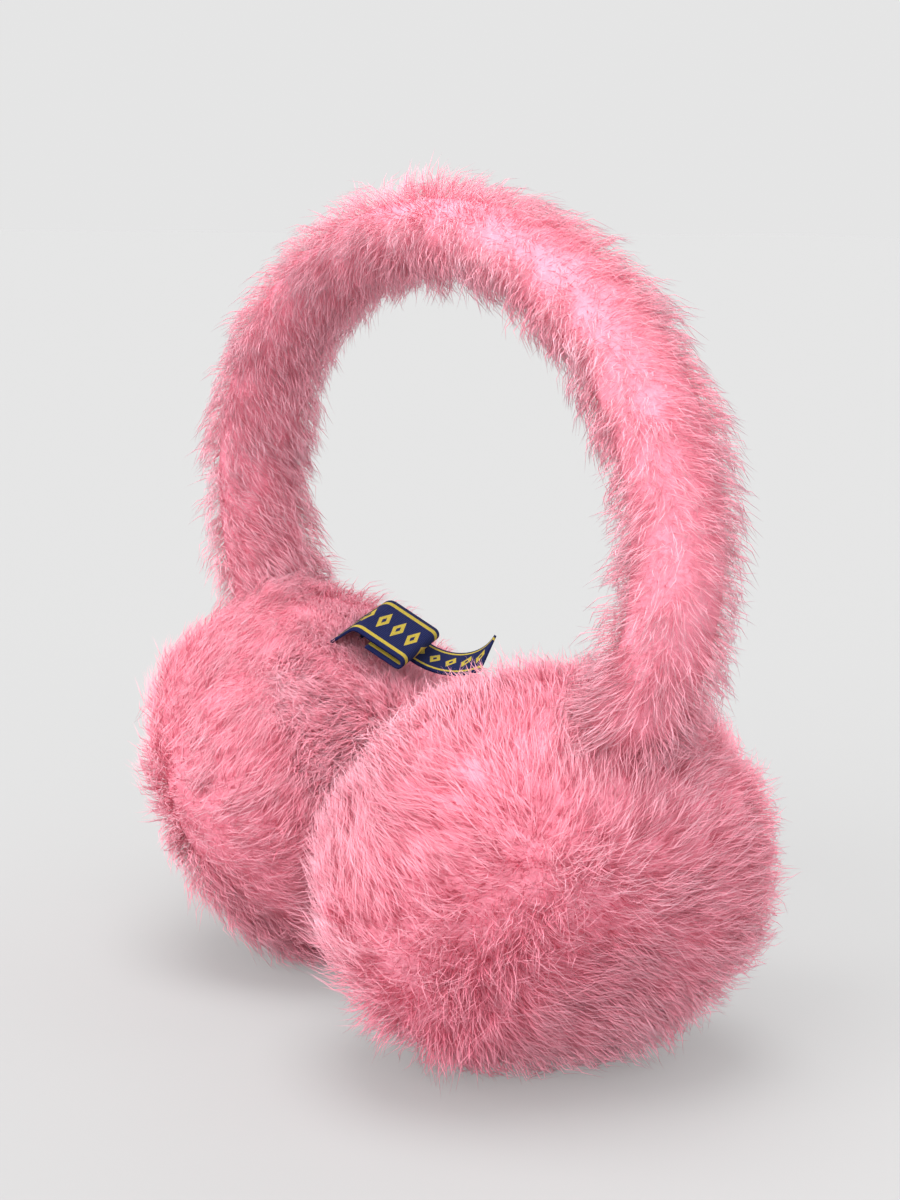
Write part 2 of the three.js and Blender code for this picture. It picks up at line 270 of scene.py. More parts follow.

# %% [markdown]
# ## Finish of the fur
# Each strand is painted a deep rose at its root, as painted shade down in the coat, and a pale pink at
# its tip, as painted light on the tips, and whole clumps are paler or darker than their neighbours.
# A noise on Object coordinates would cut across the strands. So each
# strand carries its own two numbers, its clump's tone and the way along it, and they choose a place
# on a run of three pinks. The fibre is matt, so the gloss is low.

# %% Finish of the fur
# The deep rose at the root is painted shade down in the coat, and the pale pink at the tip is painted
# light on the tips.
SHADED_ROOT_PINK, MIDDLE_PINK, LIT_TIP_PINK = (0.87, 0.210, 0.310), (0.95, 0.405, 0.500), (0.82, 0.508, 0.583)
fur = Shop("fur_strands", roughness=0.85)
tone, along = fur.own_pair()
# along carries the painted shade and light from root to tip; tone is the clump's own, less the painted
# shade at seams and partings.
paleness = along * 0.75 + tone * 0.9 - 0.3
lower_half = fur.clamped(paleness * 2)
upper_half = fur.clamped(paleness * 2 - 1)
fur.colour(fur.mix(upper_half, fur.mix(lower_half, SHADED_ROOT_PINK, MIDDLE_PINK), LIT_TIP_PINK))
print("fur finish:", len(fur.tree.nodes), "nodes")

# %% [markdown]
# ## Finish of the undercoat
# Between the strands shows the short, dense wool that they stand in. It could be one flat rose, but
# then a parting looks like a painted stripe. A fine noise moves its colour and raises a soft bump.

# %% Finish of the undercoat
undercoat = Shop("fur_undercoat", roughness=0.95)
wool = undercoat.noise(700.0, detail=4.0)
undercoat.colour(undercoat.mix(wool, (0.88, 0.26, 0.36), (0.94, 0.38, 0.48)))
undercoat.relief(wool, strength=0.6, depth=0.002)
print("undercoat finish:", len(undercoat.tree.nodes), "nodes")

# %% [markdown]
# ## Finish of the labels
# The labels are woven navy tape with gold thread: a line along each edge and a row of diamonds. An
# image could hold the pattern, but it blurs close up. Here it is a formula on the tape's own two
# coordinates: an edge line is where the way across is near 0.4 from the middle, and a diamond is
# where the distances along and across add up to little, less a smaller one inside it. Fine ribs and
# a thread noise give the weave.

# %% Finish of the labels
NAVY_DARK, NAVY, GOLD = (0.006, 0.009, 0.042), (0.012, 0.018, 0.085), (0.48, 0.37, 0.045)
DIAMONDS, RIBS = 9.0, 180.0
woven = Shop("woven_label", roughness=0.85, specular=0.1)
length_way, width_way = woven.own_pair()
from_middle = width_way.apart(0.5)
edge_lines = 1 - from_middle.apart(0.40).above(0.035)
from_diamond = length_way.repeated(DIAMONDS).apart(0.5) * 0.7 + from_middle
diamonds = (1 - from_diamond.above(0.23)) * from_diamond.above(0.08)
thread = woven.noise(2600.0)
gold_share = woven.clamped((edge_lines + diamonds) * (thread * 0.6 + 0.55))
woven.colour(woven.mix(gold_share, woven.mix(thread, NAVY_DARK, NAVY), GOLD))
ribs = woven.node("ShaderNodeMath", (width_way * RIBS,), operation="SINE")
woven.relief(ribs + thread, strength=0.35, depth=0.0002)
print("label finish:", len(woven.tree.nodes), "nodes")

# %% [markdown]
# ## Finish of the floor
# The floor has to be as bright as the background, from near to far, with a soft shadow under the
# cups. A white floor takes more light than the sky gives and burns out, and a grey one that matches
# the sky has too dark a shadow. So it is grey with a little glow of its own, and it has no gloss,
# since gloss brightens it far away.

# %% Finish of the floor
paper = Shop("floor", roughness=0.9, specular=0.0)
paper.colour((0.25, 0.25, 0.25))
paper.put((1.0, 1.0, 1.0), paper.surface["Emission Color"])
paper.put(0.244, paper.surface["Emission Strength"])
floor.data.materials.append(paper.material)
print("floor finish on", floor.name)

# %% [markdown]
# ## The cups' form
# A cup is a crowned disc of padding: flatter on its outer side, fuller on the side that faces the
# ear, with a crease where the two fur panels are sewn together. A squashed sphere is too round at
# the rim. A superellipse turned round the cup's axis gives the thick rim, and one power and one
# depth a side set how flat each face is.

# %% A cup's profile
CUP_RADIUS = 51.0
OUTER_SIDE, EAR_SIDE = (31.5, 0.66), (34.0, 0.76)  # (depth from the middle, power)
SEAM, SEAM_DIP, SEAM_REACH = -20.0, 1.3, 5
PROFILE_STEPS = 721


def profile(sunk):
    """x and r from the ear pole to the outer pole, and the run along them, sunk under the fur.

    x = depth sign(a) |sin a|^power and r = radius (cos a)^power, with a from -90 to 90 degrees,
    less a dip at the seam that falls off as a bell curve.
    """
    a = np.radians(np.linspace(-90, 90, PROFILE_STEPS))
    depth = np.where(a > 0, OUTER_SIDE[0], EAR_SIDE[0]) - sunk
    power = np.where(a > 0, OUTER_SIDE[1], EAR_SIDE[1])
    x = depth * np.sign(a) * np.abs(np.sin(a)) ** power
    r = (CUP_RADIUS - sunk) * np.maximum(np.cos(a), 0) ** power
    r -= SEAM_DIP * np.exp(-(((x - SEAM) / SEAM_REACH) ** 2))
    r = np.maximum(r, 0)
    return x, r, np.r_[0, np.cumsum(np.hypot(np.diff(x), np.diff(r)))]


print("run from pole to pole:", profile(0)[2][-1].round(1), "mm")

# %% The cups
YAW = 20.0
CUP_FUR = 6.2  # how far the skin lies under the fur's outside
SLOPE_REACH = 1.5  # a slope is measured from this far behind to this far ahead


class Cup:
    """The skin of one cup: at() is a function of the run from its ear pole and the angle round it."""

    def __init__(self, side, tilt, centre):
        self.axes, self.centre = self.turned(side, tilt), np.array(centre)
        self.x, self.r, self.run = profile(CUP_FUR)
        self.total = self.run[-1]
        self.seam = np.interp(SEAM, self.x, self.run)

    @staticmethod
    def turned(side, tilt):
        """Columns are the cup's own outward, backward and upward directions: a tilt, then a yaw."""
        t, y = np.radians(tilt) * side, np.radians(-side * YAW)
        lean = np.array([[np.cos(t), 0, np.sin(t)], [0, 1, 0], [-np.sin(t), 0, np.cos(t)]])
        yawed = np.array([[np.cos(y), -np.sin(y), 0], [np.sin(y), np.cos(y), 0], [0, 0, 1]])
        return yawed @ lean @ np.diag([side, side, 1])

    def at(self, run, angle):
        """Place, outward normal and the direction of growing run.

        In the cup's own directions the place is (x, -r sin angle, r cos angle). The normal is the
        profile's slope (dx, dr) turned a quarter, (-dr, dx).
        """
        x, r = np.interp(run, self.run, self.x), np.interp(run, self.run, self.r)
        ahead = np.clip(run + SLOPE_REACH, 0, self.total)
        behind = np.clip(run - SLOPE_REACH, 0, self.total)
        dx = np.interp(ahead, self.run, self.x) - np.interp(behind, self.run, self.x)
        dr = np.interp(ahead, self.run, self.r) - np.interp(behind, self.run, self.r)
        size = np.maximum(np.hypot(dx, dr), 1e-6)
        dx, dr = dx / size, dr / size

        def revolved(u, v):
            return np.stack([u, v * -np.sin(angle), v * np.cos(angle)], -1) @ self.axes.T

        return revolved(x, r) + self.centre, revolved(-dr, dx), revolved(dx, dr)


cups = {
    "right_ear_cup": Cup(1, 26.0, (48.7, -3.2, 45.4)),
    "left_ear_cup": Cup(-1, 33.3, (-49.2, 3.1, 44.6)),
}
for node, cup in cups.items():
    print(node, "seam at a run of", cup.seam.round(1), "of", cup.total.round(1), "mm")

# %% [markdown]
# ## The headband's form
# The headband is one padded, fur-covered arch of nearly even thickness, and its legs bend in and run
# down into the cups. A curve object with a bevel could make it, but the strands need its place,
# normal and direction at any point. So it is a tube of elliptic section along a path: the upper part
# of an ellipse, carried on 36 degrees past its widest points.

# %% The headband
ARCH_HALF_WIDTH, ARCH_RISE, ARCH_MIDDLE, WRAP = 84.0, 66.4, 113.6, np.radians(36)
LEG_FORWARD, LEG_BACK = -4.8, 1.5
BAND_HALF_WIDTH, BAND_HALF_THICKNESS, BAND_FUR = 15.6, 11.9, 5.0
BAND_STEPS = 801


def unit(v):
    """Each vector divided by its length."""
    return v / np.maximum(np.linalg.norm(v, axis=-1, keepdims=True), 1e-9)


class Band:
    """The skin of the headband: at() is a function of the run from its left end and the angle."""

    def __init__(self):
        self.across, self.thick = BAND_HALF_WIDTH - BAND_FUR, BAND_HALF_THICKNESS - BAND_FUR
        self.a = np.linspace(-np.pi / 2 - WRAP, np.pi / 2 + WRAP, BAND_STEPS)
        steps = np.diff(self.path(self.a), axis=0)
        self.run = np.r_[0, np.cumsum(np.linalg.norm(steps, axis=1))]
        self.total = self.run[-1]

    def path(self, a):
        """(half width sin a, y, middle + rise cos a); y grows as the square of the way down a leg."""
        down = (1 - np.cos(a)) / (1 - np.cos(np.pi / 2 + WRAP))
        y = np.where(a > 0, LEG_FORWARD, LEG_BACK) * down**2
        x, z = ARCH_HALF_WIDTH * np.sin(a), ARCH_MIDDLE + ARCH_RISE * np.cos(a)
        return np.stack([x, y, z], -1) + ARCH_PLACE

    def at(self, run, angle):
        """Place, outward normal, direction along the band and direction round it.

        The place is the path + out thick cos angle + side across sin angle: an ellipse round it.
        """
        a = np.interp(run, self.run, self.a)
        tangent = unit(self.path(a + 0.01) - self.path(a - 0.01))
        out = unit(np.cross(tangent, [0, 1, 0]))
        side = np.cross(out, tangent)
        c, s = np.cos(angle)[..., None], np.sin(angle)[..., None]
        place = self.path(a) + out * self.thick * c + side * self.across * s
        normal = unit(out * c / self.thick + side * s / self.across)
        return place, normal, tangent, unit(side * self.across * c - out * self.thick * s)


band = Band()
print("headband:", band.total.round(1), "mm along its middle")

# %% [markdown]
# ## Undercoat
# Under the long strands lies a dense undercoat. The gaps between strands could be closed with many
# more strands, but a skin a few millimetres under the fur's outside does it with few faces. Each skin
# is a grid of runs and angles, a little uneven on the cups, welded at its poles so that it is closed,
# and pressed flat where the cups stand on the floor.

# %% Grids for skins
def skin_grid(total, rows, columns):
    """The run and the angle of each point of a grid: rows from end to end, columns round."""
    angles = np.linspace(0, 2 * np.pi, columns, endpoint=False)
    return np.meshgrid(np.linspace(0, total, rows), angles, indexing="ij")


def grid_faces(rows, columns):
    """Quads of a grid of points that closes round its columns."""
    r, c = np.meshgrid(np.arange(rows - 1), np.arange(columns), indexing="ij")
    beside = (c + 1) % columns
    quads = [r * columns + c, r * columns + beside, (r + 1) * columns + beside, (r + 1) * columns + c]
    return np.stack(quads, -1).reshape(-1, 4)


print("a grid of 3 rows and 4 columns has", len(grid_faces(3, 4)), "quads")

# %% Waves, pressing and welding
WAVES = 6
WELD = 1e-6  # in metres


def waves(points, scale, seed):
    """Soft noise between about -1 and 1: a sum of sine waves in random directions.

    Their lengths go from scale / 0.6 down to scale / 1.85, and their heights from 1 to 1 / 3.
    """
    r = np.random.default_rng(seed)
    total = np.zeros(points.shape[:-1])
    for i in range(WAVES):
        way = unit(r.normal(size=3)) * (2 * np.pi / scale) * (0.6 + 0.25 * i)
        total += np.sin(points @ way + r.uniform(0, 6.28)) / (1 + 0.4 * i)
    return total / 2.2


def press(points, lowest):
    """Whatever would go under lowest is pressed flat on it."""
    points[..., 2] = np.maximum(points[..., 2], lowest)
    return points


def finish_skin(item, node):
    """Welds the points that meet at a pole, and says what the skin is made of and stands for."""
    net = bmesh.new()
    net.from_mesh(item.data)
    bmesh.ops.remove_doubles(net, verts=net.verts, dist=WELD)
    net.to_mesh(item.data)
    net.free()
    item.data.materials.append(undercoat.material)
    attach(item, "root")
    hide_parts(node)
    print(item.name, "welded:", len(item.data.vertices), "points")


sample = waves(np.linspace([0, 0, 0], [200, 100, 50], 500), 9.0, 3)
print("waves go from", sample.min().round(2), "to", sample.max().round(2))

# %% The cups' undercoat
CUP_ROWS, CUP_COLUMNS = 60, 80
UNEVEN_HEIGHT, UNEVEN_SIZE = 0.7, 9.0
for node, cup in cups.items():
    run, angle = skin_grid(cup.total, CUP_ROWS, CUP_COLUMNS)
    place, normal, _ = cup.at(run, angle)
    off_pole = np.minimum(run, cup.total - run)[..., None] > 0.01
    uneven = (UNEVEN_HEIGHT * waves(place, UNEVEN_SIZE, 3))[..., None]
    place = place + normal * uneven * off_pole
    faces = grid_faces(CUP_ROWS, CUP_COLUMNS)[:, ::-1]
    finish_skin(mesh_object(node + "_undercoat", press(place, 0.0).reshape(-1, 3), faces), node)

# %% The headband's undercoat
BAND_ROWS, BAND_COLUMNS = 100, 28
run, angle = skin_grid(band.total, BAND_ROWS, BAND_COLUMNS)
place = band.at(run, angle)[0]
place[0], place[-1] = place[0].mean(0), place[-1].mean(0)  # each end closes in its middle
faces = grid_faces(BAND_ROWS, BAND_COLUMNS)
finish_skin(mesh_object("headband_undercoat", place.reshape(-1, 3), faces), "headband")

# %% [markdown]
# ## One strand
# A fibre tapers to a point. A flat card with a picture of hairs would be cheaper, but it shows its
# edge from the side and isn't closed. A three-sided needle is the smallest closed mesh that tapers.
# A short strand goes straight from three corners to a point. A long one is a point in the skin, three
# corners at its bend and a point at its tip.

# %% Strands as needles
STRAIGHT_SIDES = [(0, 2, 1), (0, 1, 3), (1, 2, 3), (2, 0, 3)]
BENT_SIDES = [(0, 1, 3), (1, 2, 3), (2, 0, 3), (1, 0, 4), (2, 1, 4), (0, 2, 4)]


def needles(root, bend, tip, tone, thick):
    """Points, faces and (tone, way along) of closed three-sided needles, one for each root.

    A ring's corners are its middle + thick / 2 (side cos t + other sin t) with t = 90, 210 and 330
    degrees, square to the line from root to tip. The ring is at the bend, or else at the root.
    """
    count = len(root)
    way = unit(tip - root)
    side = unit(np.cross(way, np.where(np.abs(way[:, 2:]) > 0.8, [1.0, 0, 0], [0, 0, 1.0])))
    other = np.cross(way, side)
    turn = np.radians([90, 210, 330])[None, :, None]
    ring = (side[:, None] * np.cos(turn) + other[:, None] * np.sin(turn)) * thick[:, None, None] / 2
    if bend is None:
        points = np.concatenate([root[:, None] + ring, tip[:, None]], 1)
        levels, sides = [0, 0, 0, 1], STRAIGHT_SIDES
    else:
        points = np.concatenate([bend[:, None] + ring, tip[:, None], root[:, None]], 1)
        levels, sides = [0.5, 0.5, 0.5, 1, 0], BENT_SIDES
    corners = points.shape[1]
    faces = (np.arange(count)[:, None, None] * corners + np.array(sides)).reshape(-1, 3)
    uv = np.stack([np.repeat(tone[:, None], corners, 1), np.tile(levels, (count, 1))], -1)
    return points.reshape(-1, 3), faces, uv.reshape(-1, 2)


print("faces of a strand: straight", len(STRAIGHT_SIDES), "bent", len(BENT_SIDES))

# %% [markdown]
# ## A coat of clumps
# Fur doesn't stand hair by hair: fibres stick together in small clumps with a common tip. Combing
# every strand alone gives a brush. Here a clump has a root, a direction, a length and a tone, its
# strands start round that root, and their tips draw together at its tip. A coat is long bent strands
# over shorter straight ones, so that it looks dense and its edge stays soft.

# %% Strands round their clumps
rng = np.random.default_rng(7)
COAT = (  # (clumps, strands in each, straight, how far tips draw together, share of the length)
    (4200, 5, False, 0.55, 1.0),
    (2700, 6, True, 0.45, 0.72),
)


def fill_clumps(form, per, run, angle, root, way, length, tone, spread, radius, near, far):
    """per strands in each clump: their roots and normals, and what they take from the clump.

    A strand's run and angle are the clump's plus a random step of spread mm, the angle's divided by
    the radius there, and the run stays between near and far.
    """
    count = len(run) * per
    runs = np.repeat(run, per) + rng.normal(size=count) * spread
    angles = np.repeat(angle, per) + rng.normal(size=count) * spread / np.repeat(radius, per)
    roots, normals = form.at(np.clip(runs, near, far), angles)[:2]
    lengths = np.repeat(length, per) * rng.uniform(0.72, 1.1, count)
    tones = np.clip(np.repeat(tone, per) + rng.normal(size=count) * 0.07, 0.01, 0.99)
    return roots, normals, np.repeat(root, per, 0), np.repeat(way, per, 0), lengths, tones


print("strands of a coat:", sum(clumps * per for clumps, per, *_ in COAT))

# %% Growing a coat
BOW = 0.16  # how far a strand bows out, as a share of its length
TIP_STRAY, BEND_STRAY = 0.6, 0.55
THINNEST, THICKEST = 0.13, 0.21
ROOT_DEPTH = 0.6  # how far a root is set under the skin
FLOOR_GAPS = {"root": 0.3, "tip": 0.25, "bend": 0.4}
FLOOR_SPREAD = 0.8  # pressed tips and bends lie up to this much higher, so that they don't meet


def grow(name, node, seeds, shades):
    """Adds a coat to a node, from seeds(clumps, per, shade) and a painted parting shade for each layer.

    A tip is the clump's tip + (1 - drawn) of the way that the strand's root is off the clump's root.
    A bend is the middle of root and tip, raised along the normal by the bow. Both stray a little,
    and what would go under the floor is pressed on it.
    """
    layers = []
    points_before = 0
    for (clumps, per, straight, drawn, share), shade in zip(COAT, shades):
        roots, normals, clump_roots, ways, lengths, tones = seeds(clumps, per, shade)
        size = (lengths * share)[:, None]
        clump_tips = clump_roots + ways * size
        tips = clump_tips + (roots - clump_roots) * (1 - drawn)
        tips = tips + rng.normal(size=roots.shape) * TIP_STRAY
        bends = (roots + tips) / 2 + normals * (size * BOW)
        bends = bends + rng.normal(size=roots.shape) * BEND_STRAY
        thick = rng.uniform(THINNEST, THICKEST, len(roots))
        roots = press(roots - normals * ROOT_DEPTH, FLOOR_GAPS["root"])
        tips = press(tips, FLOOR_GAPS["tip"] + rng.uniform(0, FLOOR_SPREAD, len(roots)))
        bends = press(bends, FLOOR_GAPS["bend"] + rng.uniform(0, FLOOR_SPREAD, len(roots)))
        points, faces, uv = needles(roots, None if straight else bends, tips, tones, thick)
        layers.append((points, faces + points_before, uv))
        points_before += len(points)
    piece = mesh_object(name, *map(np.concatenate, zip(*layers)))
    piece.data.materials.append(fur.material)
    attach(piece, "root")
    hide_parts(node)


sides = {True: len(STRAIGHT_SIDES), False: len(BENT_SIDES)}
print("faces of a coat:", sum(clumps * per * sides[straight] for clumps, per, straight, *_ in COAT))

# %% [markdown]
# ## Short fur at the labels
# The labels press the left cup's fur down, and only a few hairs cross their edges. Cutting away the
# strands that hit a label leaves a bald frame round it. So a strand gets shorter the nearer it
# stands to a label.

# %% Distance to the labels
label_boxes = np.array([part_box(node) for node in ("folded_label", "strip_label")]) / MM


def from_labels(points):
    """How far each point is from the nearer label's box, 0 inside it."""
    gap = [np.maximum(np.maximum(low - points, points - high), 0) for low, high in label_boxes]
    return np.linalg.norm(gap, axis=-1).min(0)


print("label boxes, mm:", label_boxes.round(1).tolist())

# %% [markdown]
# ## The fur on the cups
# On each face the fur stands up along a short parting and lies down away from it, in soft waves,
# until it meets the other face's fur at the seam, where the hairs cross. Random directions look like
# a scrubbed mat, and one direction like a brushed one. So a clump's direction is the way out from the
# parting, plus waves of several sizes, plus the normal, which is strong at the parting and at the seam.

# %% Combing a cup
RIM_START, RIM_WIDTH = 34, 20  # from the seam: where the flow starts to turn, and how long it takes
CROSSED_SHARE, CROSSED_REACH = 0.5, 5


def comb(cup, side, parting, run, root, normal, ahead):
    """Each clump's flow along the skin, and how far it is from the parting and from the seam.

    The flow leads away from the nearest point of the parting, a line from one (back, up) pair to
    another. Near the seam it turns square to it, and there some clumps lie the other way.
    """
    start, end = np.array(parting)
    own = (root - cup.centre) @ cup.axes
    line = end - start
    share = np.clip(((own[:, 1:] - start) @ line) / (line @ line), 0, 1)
    off = own[:, 1:] - (start + share[:, None] * line)
    flow = unit(off @ cup.axes[:, 1:].T)
    flow = flow - normal * (flow * normal).sum(1, keepdims=True)
    from_seam = np.abs(run - cup.seam)
    rim = np.clip((RIM_START - from_seam) / RIM_WIDTH, 0, 1)[:, None]
    flow = unit(flow * (1 - rim) + ahead * -side * rim)
    crossed = rng.uniform(0, 1, len(run)) < CROSSED_SHARE * np.exp(-from_seam / CROSSED_REACH)
    flow = np.where(crossed[:, None], -flow, flow)
    return flow, np.linalg.norm(off, axis=1), from_seam


print("from", RIM_START, "mm off the seam, the flow turns square to it")

# %% Direction and length of a cup's clumps
CUP_FACES = {  # side: (length, upright at the parting, how much of that is combed down)
    1: (12.6, 0.95, 0.58),
    -1: (11.2, 0.70, 0.27),
}
COMBED_REACH, MET_REACH = 20, 13  # how far the parting and the seam keep the fur up
SHORT_AT_SEAM, SHORT_AT_FLOOR, SHORT_ON_TOP = 0.26, 0.25, 0.12  # what each takes off a length
SHORT_REACH, LABEL_REACH = 14, 9


def clump_ways(side, angle, root, normal, flow, from_parting, from_seam):
    """flow + sideways waves + normal + a random part, each with a weight that changes over the face."""
    _, upright, combed_down = CUP_FACES[side]
    combed = np.clip(from_parting / COMBED_REACH, 0, 1)[:, None]
    met = np.clip(from_seam / MET_REACH, 0.3, 1)[:, None]
    swirl = 0.40 * waves(root, 60.0, 11) + 0.40 * waves(root, 20.0, 12) + 0.2 * waves(root, 9.0, 17)
    raised = upright - combed_down * combed + 0.12 * waves(root, 12.0, 13)[:, None]
    raised = raised - 0.10 * np.maximum(np.cos(angle), 0)[:, None]
    stray = rng.normal(size=root.shape) * (0.14 + 0.36 * (1 - combed))
    sideways = np.cross(normal, flow)
    return unit(flow * combed * met + sideways * swirl[:, None] + normal * raised + stray)


def clump_lengths(side, angle, root, from_seam):
    """A face's length, less at the seam, near the floor, on top of the cup and at the labels."""
    off_seam = np.clip(from_seam / SHORT_REACH, 0, 1)
    off_floor = np.clip(root[:, 2] / SHORT_REACH, 0, 1)
    length = CUP_FACES[side][0] * (1 - SHORT_AT_SEAM + SHORT_AT_SEAM * off_seam)
    length = length * (1 + 0.16 * waves(root, 14.0, 14))
    length *= rng.uniform(0.82, 1.12, len(root)) * (1 - SHORT_AT_FLOOR + SHORT_AT_FLOOR * off_floor)
    length *= 1 - SHORT_ON_TOP * np.maximum(np.cos(angle), 0)
    return length * np.clip(from_labels(root) / LABEL_REACH, 0.35, 1)


print("fur on the cups: up to", CUP_FACES[1][0], "mm outside and", CUP_FACES[-1][0], "mm at the ear")

# %% A cup's clumps
CUP_SPREAD = 2.1
# SEAM_SHADE is painted shade in the seam's crease.
CUP_TONE, SEAM_SHADE = 0.43, 0.06
SEAM_SHADE_REACH, PARTING_SHADE_REACH = 6, 15


def cup_seeds(cup, side, parting):
    """Gives seeds(clumps, per, shade) on a cup's outer (1) or ear (-1) side, evenly over its area.

    A clump's tone is the cup's + two sizes of waves + a random part, less a painted shade in the seam's
    crease and in the parting's hollow that falls off as a bell curve.
    """
    near, far = (cup.seam, cup.total) if side > 0 else (0, cup.seam)

    def seeds(clumps, per, shade):
        table = np.linspace(near, far, 400)
        area = np.cumsum(np.interp(table, cup.run, cup.r) + 1.0)
        run = np.interp(rng.uniform(0, 1, clumps) * area[-1], area, table)
        angle = rng.uniform(0, 2 * np.pi, clumps)
        root, normal, ahead = cup.at(run, angle)
        flow, from_parting, from_seam = comb(cup, side, parting, run, root, normal, ahead)
        way = clump_ways(side, angle, root, normal, flow, from_parting, from_seam)
        length = clump_lengths(side, angle, root, from_seam)
        tone = CUP_TONE + 0.13 * waves(root, 34.0, 15) + 0.09 * waves(root, 9.0, 16)
        tone += rng.normal(size=clumps) * 0.05
        # Painted shade in the seam's crease.
        tone -= SEAM_SHADE * np.exp(-((from_seam / SEAM_SHADE_REACH) ** 2))
        # Painted shade in the parting, where the coat's hollow shows.
        tone -= shade * np.exp(-((from_parting / PARTING_SHADE_REACH) ** 2))
        radius = np.maximum(np.interp(run, cup.run, cup.r), 3.0)
        clump = (run, angle, root, way, length, tone)
        return fill_clumps(cup, per, *clump, CUP_SPREAD, radius, near + 0.2, far - 0.2)

    return seeds


print("a clump's strands start within about", CUP_SPREAD, "mm of its root")

# %% The cups' coats
# How much painted shade each layer gets in the parting's hollow.
OUTER_SHADES, EAR_SHADES = (0.22, 0.62), (0.05, 0.05)  # (long strands, short ones)
partings = {  # (node, side): from one (back, up) place on the face to another
    ("right_ear_cup", 1): ((-27, -10), (-8, 14)),
    ("right_ear_cup", -1): ((-8, -12), (8, -8)),
    ("left_ear_cup", 1): ((-12, -6), (8, 6)),
    ("left_ear_cup", -1): ((-18, -14), (-4, -8)),
}
for (node, side), parting in partings.items():
    coat, shades = ("_outer_fur", OUTER_SHADES) if side > 0 else ("_ear_fur", EAR_SHADES)
    grow(node + coat, node, cup_seeds(cups[node], side, parting), shades)

# %% [markdown]
# ## The fur on the headband
# The headband's fur is parted along the outside of the arch, a little off its middle, and sweeps
# round the band on both sides and down both legs. It could be the cups' fur with other numbers, but a
# tube has no face to comb out from. So the sweep is worked out from the angle round the tube and the
# way down from its crown.

# %% The headband's coat
BAND_LENGTH, BAND_SPREAD, BAND_MEAN_RADIUS = 9.3, 1.7, 9.0
BAND_PARTING = -0.6  # its angle round the band, 0 outside the arch
# BAND_SHADES is painted shade along the parting, where the coat's hollow shows.
BAND_TONE, BAND_SHADES = 0.63, (0.16, 0.16)
CROWN_REACH = 18  # how far from the crown the fur starts to sweep down a leg
LONGER, LONGER_AT, LONGER_REACH = 0.35, 22, 12  # longer fur over the joints with the cups


def band_seeds(clumps, per, shade):
    """A clump's way = tangent (down + waves) + round (away from the parting + waves) + normal.

    down goes from -1 to 1 as the tanh of the run from the crown, and the way round goes from -1 to 1
    across the parting in the same form and back to 0 inside the arch.
    """
    run = rng.uniform(3, band.total - 3, clumps)
    angle = rng.uniform(-np.pi, np.pi, clumps)
    root, normal, tangent, around = band.at(run, angle)
    down = np.tanh((run - band.total / 2) / CROWN_REACH)[:, None]
    parted = (angle - BAND_PARTING + np.pi) % (2 * np.pi) - np.pi
    sweep = (0.85 * np.tanh(parted * 2.5) * np.cos(parted / 2))[:, None]
    along_band = tangent * (0.62 * down + 0.22 * waves(root, 22.0, 21)[:, None])
    round_band = around * (sweep + 0.25 * waves(root, 17.0, 22)[:, None])
    way = unit(along_band + round_band + normal * 0.44 + rng.normal(size=root.shape) * 0.17)
    length = BAND_LENGTH * (1 + 0.16 * waves(root, 12.0, 23)) * rng.uniform(0.8, 1.12, clumps)
    from_end = np.minimum(run, band.total - run)
    length *= 1 + LONGER * np.exp(-(((from_end - LONGER_AT) / LONGER_REACH) ** 2))
    tone = BAND_TONE + 0.10 * waves(root, 26.0, 24) + 0.08 * waves(root, 8.0, 25)
    tone = np.clip(tone + rng.normal(size=clumps) * 0.05, 0.02, 0.98)
    # Painted shade along the parting.
    tone = np.clip(tone - shade * np.exp(-((parted / 0.3) ** 2)), 0.02, 0.98)
    clump = (run, angle, root, way, length, tone)
    radius = np.full(clumps, BAND_MEAN_RADIUS)
    return fill_clumps(band, per, *clump, BAND_SPREAD, radius, 1, band.total - 1)


grow("headband_fur", "headband", band_seeds, BAND_SHADES)

# %% [markdown]
# ## Labels
# A woven label, folded at its free edge, lies on the left cup, and a narrow strip comes out beside
# it and curls up at its slanted end. Cloth simulation suits a sheet that hangs, but these are short
# and stiff, and each fold is known. So each is a ribbon: runs, each with its own turn, laid end to end,
# with a thickness, two edges and two ends.

# %% The middle line of a ribbon
LABEL_SKEW = np.radians(-14.0)
ear_way = np.array([-1.0, 0, 0])
out_way = np.array([0, -np.sin(LABEL_SKEW), np.cos(LABEL_SKEW)])
label_axes = np.column_stack([out_way, ear_way, np.cross(out_way, ear_way)])


def ribbon_line(runs, steps):
    """Runs along, points and headings of a line made of (length, turn in degrees) pairs.

    The heading starts at 90 degrees and turns evenly within each run, and the points add up the
    steps in the mean heading of each.
    """
    lengths, turns = np.array(runs).T
    s = np.linspace(0, lengths.sum(), steps)
    starts = np.r_[0, np.cumsum(lengths)]
    turned = [np.radians(t) * np.clip((s - a) / l, 0, 1) for a, l, t in zip(starts, lengths, turns)]
    heading = np.pi / 2 + sum(turned)
    middle = (heading[1:] + heading[:-1]) / 2
    step = np.stack([np.cos(middle), np.sin(middle)], -1) * np.diff(s)[:, None]
    return s, np.r_[[[0, 0]], np.cumsum(step, axis=0)], heading


print("labels point", (cups["left_ear_cup"].axes @ label_axes[:, 0]).round(2))

# %% A ribbon's points and faces
LABEL_THICKNESS = 0.7
RIBBON_ROWS, RIBBON_COLUMNS = 90, 9
left_axes = cups["left_ear_cup"].axes


